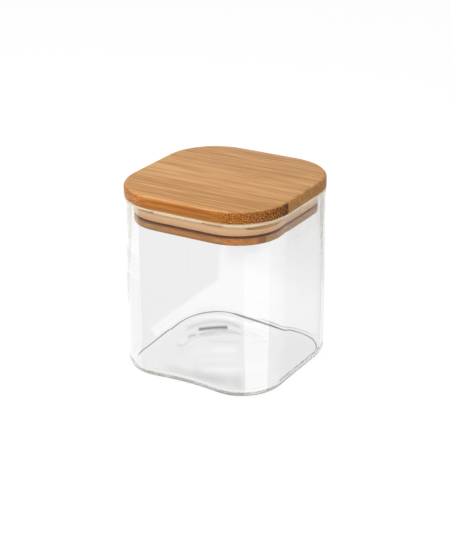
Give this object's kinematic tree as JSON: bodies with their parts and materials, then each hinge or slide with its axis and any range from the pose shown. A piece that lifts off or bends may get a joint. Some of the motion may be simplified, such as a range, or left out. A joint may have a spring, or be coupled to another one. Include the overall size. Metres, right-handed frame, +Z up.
{
  "type": "glass storage jar",
  "caption": "Square round-cornered glass storage jar with a bamboo stopper lid and a clear silicone lip seal that lifts straight off.",
  "frame": {"origin": "centre of the jar's footprint, on the surface that it stands on", "axes": "+Z up along the jar's middle, out of its mouth; -Y faces the side whose lower edge the picture shows at the left, and X and Y run along the jar's flat sides"},
  "size_m": [0.1, 0.1, 0.1111],
  "materials": {
    "clear_glass": "clear, fire-polished borosilicate",
    "bamboo_board": "satin laminated bamboo, grain along X",
    "bamboo_plug": "satin laminated bamboo, grain along X",
    "clear_silicone": "milky clear soft silicone"
  },
  "bodies": {
    "jar": {"glass_jar": "clear_glass"},
    "lid": {"lid_board": "bamboo_board", "lid_plug": "bamboo_plug", "lid_seal": "clear_silicone"}
  },
  "joints": [
    {"name": "lid_lift", "type": "slide", "parent": "jar", "child": "lid", "axis": [0, 0, 1], "range_m": [0, 0.06]}
  ]
}
